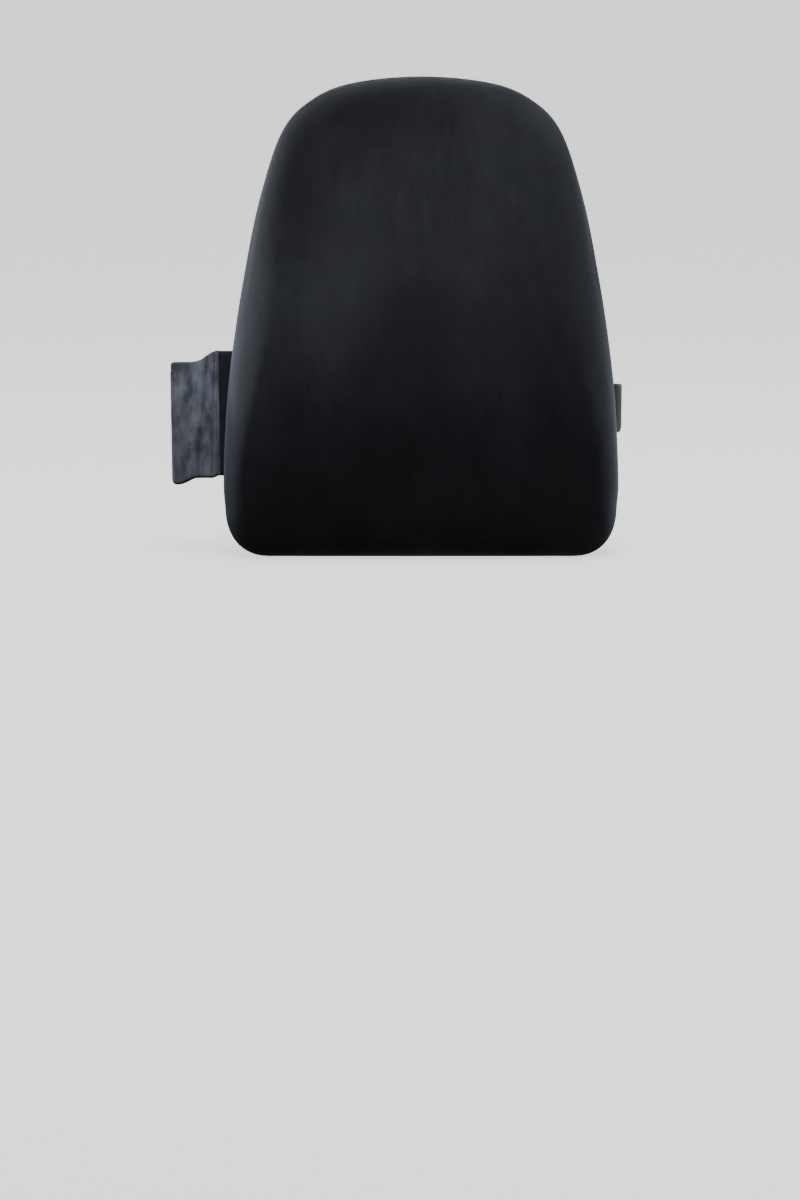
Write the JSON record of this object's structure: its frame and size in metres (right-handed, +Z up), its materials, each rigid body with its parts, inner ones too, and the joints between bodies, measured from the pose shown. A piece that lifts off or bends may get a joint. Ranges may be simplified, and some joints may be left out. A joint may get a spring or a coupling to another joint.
{
  "type": "lumbar support cushion",
  "caption": "Tall contoured back cushion with a lumbar swelling and side bolsters, a zipped stretch cover, a buckled elastic chair strap and a pleated side pouch.",
  "frame": {"origin": "middle of the flat bottom that rests on the seat", "axes": "+Z up along the cushion, +X to the right of someone who faces it, -Y towards them, +Y towards the chair back"},
  "size_m": [0.5001, 0.1495, 0.515],
  "materials": {
    "velour": "brushed stretch velour, near black with a cool sheen at grazing angles",
    "back_cloth": "plain woven black polyester, matt",
    "foam": "moulded grey polyurethane foam",
    "firm_foam": "firmer dark grey foam",
    "frame_plastic": "black moulded polypropylene, lightly grained",
    "hook_tape": "black hook tape",
    "elastic": "black woven elastic webbing with fine ribs",
    "acetal": "black moulded acetal with a satin surface",
    "zip_cloth": "black woven zip tape",
    "zip_nylon": "black nylon coil",
    "zip_metal": "black-plated zinc",
    "binding": "folded black edge binding"
  },
  "bodies": {
    "backrest": {"cover_front": "velour", "cover_back_upper": "back_cloth", "cover_back_lower": "back_cloth", "seam_welt": "velour", "foam_core": "foam", "frame_shell": "frame_plastic", "rear_foam_layer": "foam", "lumbar_pad": "firm_foam", "lumbar_hook_strip_upper": "hook_tape", "lumbar_hook_strip_lower": "hook_tape", "zipper_tape_upper": "zip_cloth", "zipper_tape_lower": "zip_cloth", "zipper_coil_upper": "zip_nylon", "zipper_coil_lower": "zip_nylon", "zipper_stop_closed": "zip_metal", "zipper_stop_open": "zip_metal", "strap_anchor_left": "elastic", "strap_anchor_right": "elastic", "strap_left": "elastic", "strap_right": "elastic", "buckle_socket": "acetal", "pouch_seam_flange": "velour"},
    "zip_slider": {"zipper_slider": "zip_metal"},
    "zip_pull": {"zipper_pull": "zip_metal"},
    "pouch": {"pouch_front_panel": "velour", "pouch_back_panel": "velour", "pouch_gusset": "velour", "pouch_hem": "binding"},
    "plug": {"buckle_plug": "acetal"},
    "prong_upper": {"buckle_prong_upper": "acetal"},
    "prong_lower": {"buckle_prong_lower": "acetal"},
    "adjuster": {"strap_adjuster": "acetal"}
  },
  "joints": [
    {"name": "zip_run", "type": "slide", "parent": "backrest", "child": "zip_slider", "axis": [-1, 0, 0], "range_m": [0, 0.32]},
    {"name": "pull_swing", "type": "hinge", "parent": "zip_slider", "child": "zip_pull", "pos_m": [0.16, 0.0437, 0.058], "axis": [0, 0, -1], "range_deg": [0, 170]},
    {"name": "pouch_swing", "type": "hinge", "parent": "backrest", "child": "pouch", "pos_m": [-0.2215, 0.028, 0.148], "axis": [0, 0, 1], "range_deg": [-40, 60]},
    {"name": "plug_pull", "type": "slide", "parent": "backrest", "child": "plug", "axis": [-1, 0, 0], "range_m": [0, 0.035], "deforming": ["strap_left", "buckle_prong_upper", "buckle_prong_lower"]},
    {"name": "prong_upper_flex", "type": "hinge", "parent": "plug", "child": "prong_upper", "pos_m": [0.0003, 0.0835, 0.18], "axis": [0, 1, 0], "range_deg": [0, 12], "stiffness_Nm_per_rad": 0.4},
    {"name": "prong_lower_flex", "type": "hinge", "parent": "plug", "child": "prong_lower", "pos_m": [0.0003, 0.0835, 0.134], "axis": [0, -1, 0], "range_deg": [0, 12], "stiffness_Nm_per_rad": 0.4},
    {"name": "adjuster_slide", "type": "slide", "parent": "plug", "child": "adjuster", "axis": [1, 0, 0], "range_m": [-0.03, 0.035], "deforming": ["strap_left"]}
  ]
}
